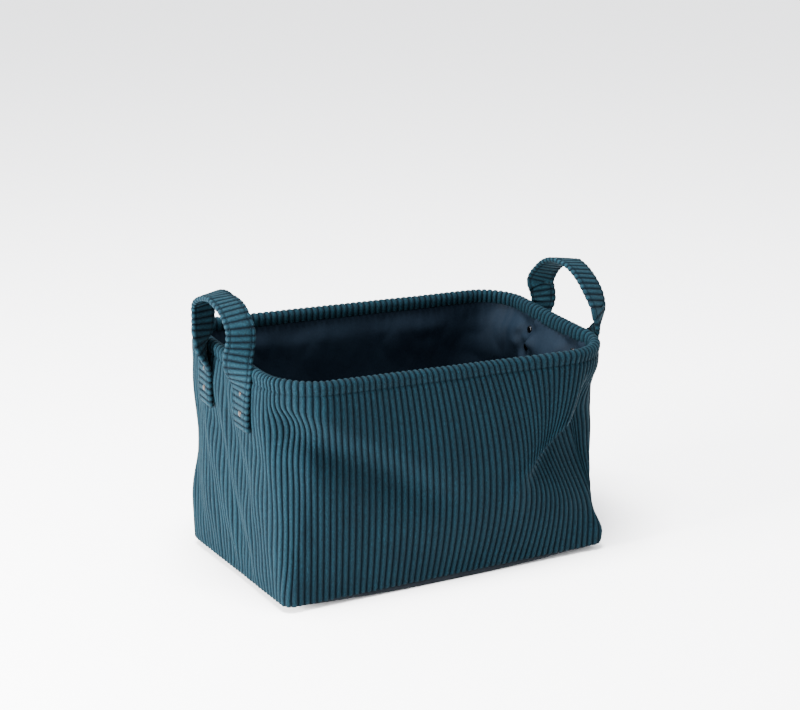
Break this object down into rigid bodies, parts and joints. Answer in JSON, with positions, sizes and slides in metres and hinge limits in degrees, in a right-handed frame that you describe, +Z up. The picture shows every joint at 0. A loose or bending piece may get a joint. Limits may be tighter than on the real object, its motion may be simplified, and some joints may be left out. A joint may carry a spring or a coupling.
{
  "type": "fabric storage bin",
  "caption": "Soft rectangular storage bin of wide-wale corduroy with a dark lining, a wired rim and riveted strap handles that fold in and out.",
  "frame": {"origin": "middle of the underside, on the surface that the bin stands on", "axes": "+Z up; X along the long side, with a handle at each end; -Y is the front"},
  "size_m": [0.4512, 0.246, 0.307],
  "materials": {
    "corduroy": "wide-wale cotton corduroy, teal",
    "strap_corduroy": "wide-wale corduroy strap, wales across",
    "lining": "smooth dark navy lining, slightly shiny",
    "base_cloth": "coated charcoal base cloth",
    "thread": "polyester sewing thread",
    "spring_wire": "drawn spring steel wire",
    "ferrule": "crimped steel sleeve",
    "board": "grey board",
    "rivet_outer": "dark antique copper",
    "rivet_inner": "gunmetal"
  },
  "bodies": {
    "bin": {"outer_shell": "corduroy", "rim_hem": "corduroy", "hem_thread": "thread", "base_thread": "thread", "rim_wire": "spring_wire", "rim_wire_ferrule": "ferrule", "base_panel": "base_cloth", "base_board": "board", "lining_wall": "lining", "lining_base": "lining", "left_front_strap_end": "strap_corduroy", "left_rear_strap_end": "strap_corduroy", "right_front_strap_end": "strap_corduroy", "right_rear_strap_end": "strap_corduroy", "left_front_lower_rivet": "rivet_outer", "left_front_lower_rivet_cap": "rivet_inner", "left_front_upper_rivet": "rivet_outer", "left_front_upper_rivet_cap": "rivet_inner", "left_rear_lower_rivet": "rivet_outer", "left_rear_lower_rivet_cap": "rivet_inner", "left_rear_upper_rivet": "rivet_outer", "left_rear_upper_rivet_cap": "rivet_inner", "right_front_lower_rivet": "rivet_outer", "right_front_lower_rivet_cap": "rivet_inner", "right_front_upper_rivet": "rivet_outer", "right_front_upper_rivet_cap": "rivet_inner", "right_rear_lower_rivet": "rivet_outer", "right_rear_lower_rivet_cap": "rivet_inner", "right_rear_upper_rivet": "rivet_outer", "right_rear_upper_rivet_cap": "rivet_inner"},
    "left_handle": {"left_handle_loop": "strap_corduroy"},
    "right_handle": {"right_handle_loop": "strap_corduroy"}
  },
  "joints": [
    {"name": "left_handle_fold", "type": "hinge", "parent": "bin", "child": "left_handle", "pos_m": [-0.2046, 0, 0.247], "axis": [0, -1, 0], "range_deg": [-50, 110]},
    {"name": "right_handle_fold", "type": "hinge", "parent": "bin", "child": "right_handle", "pos_m": [0.2046, 0, 0.247], "axis": [0, 1, 0], "range_deg": [-50, 110]}
  ]
}
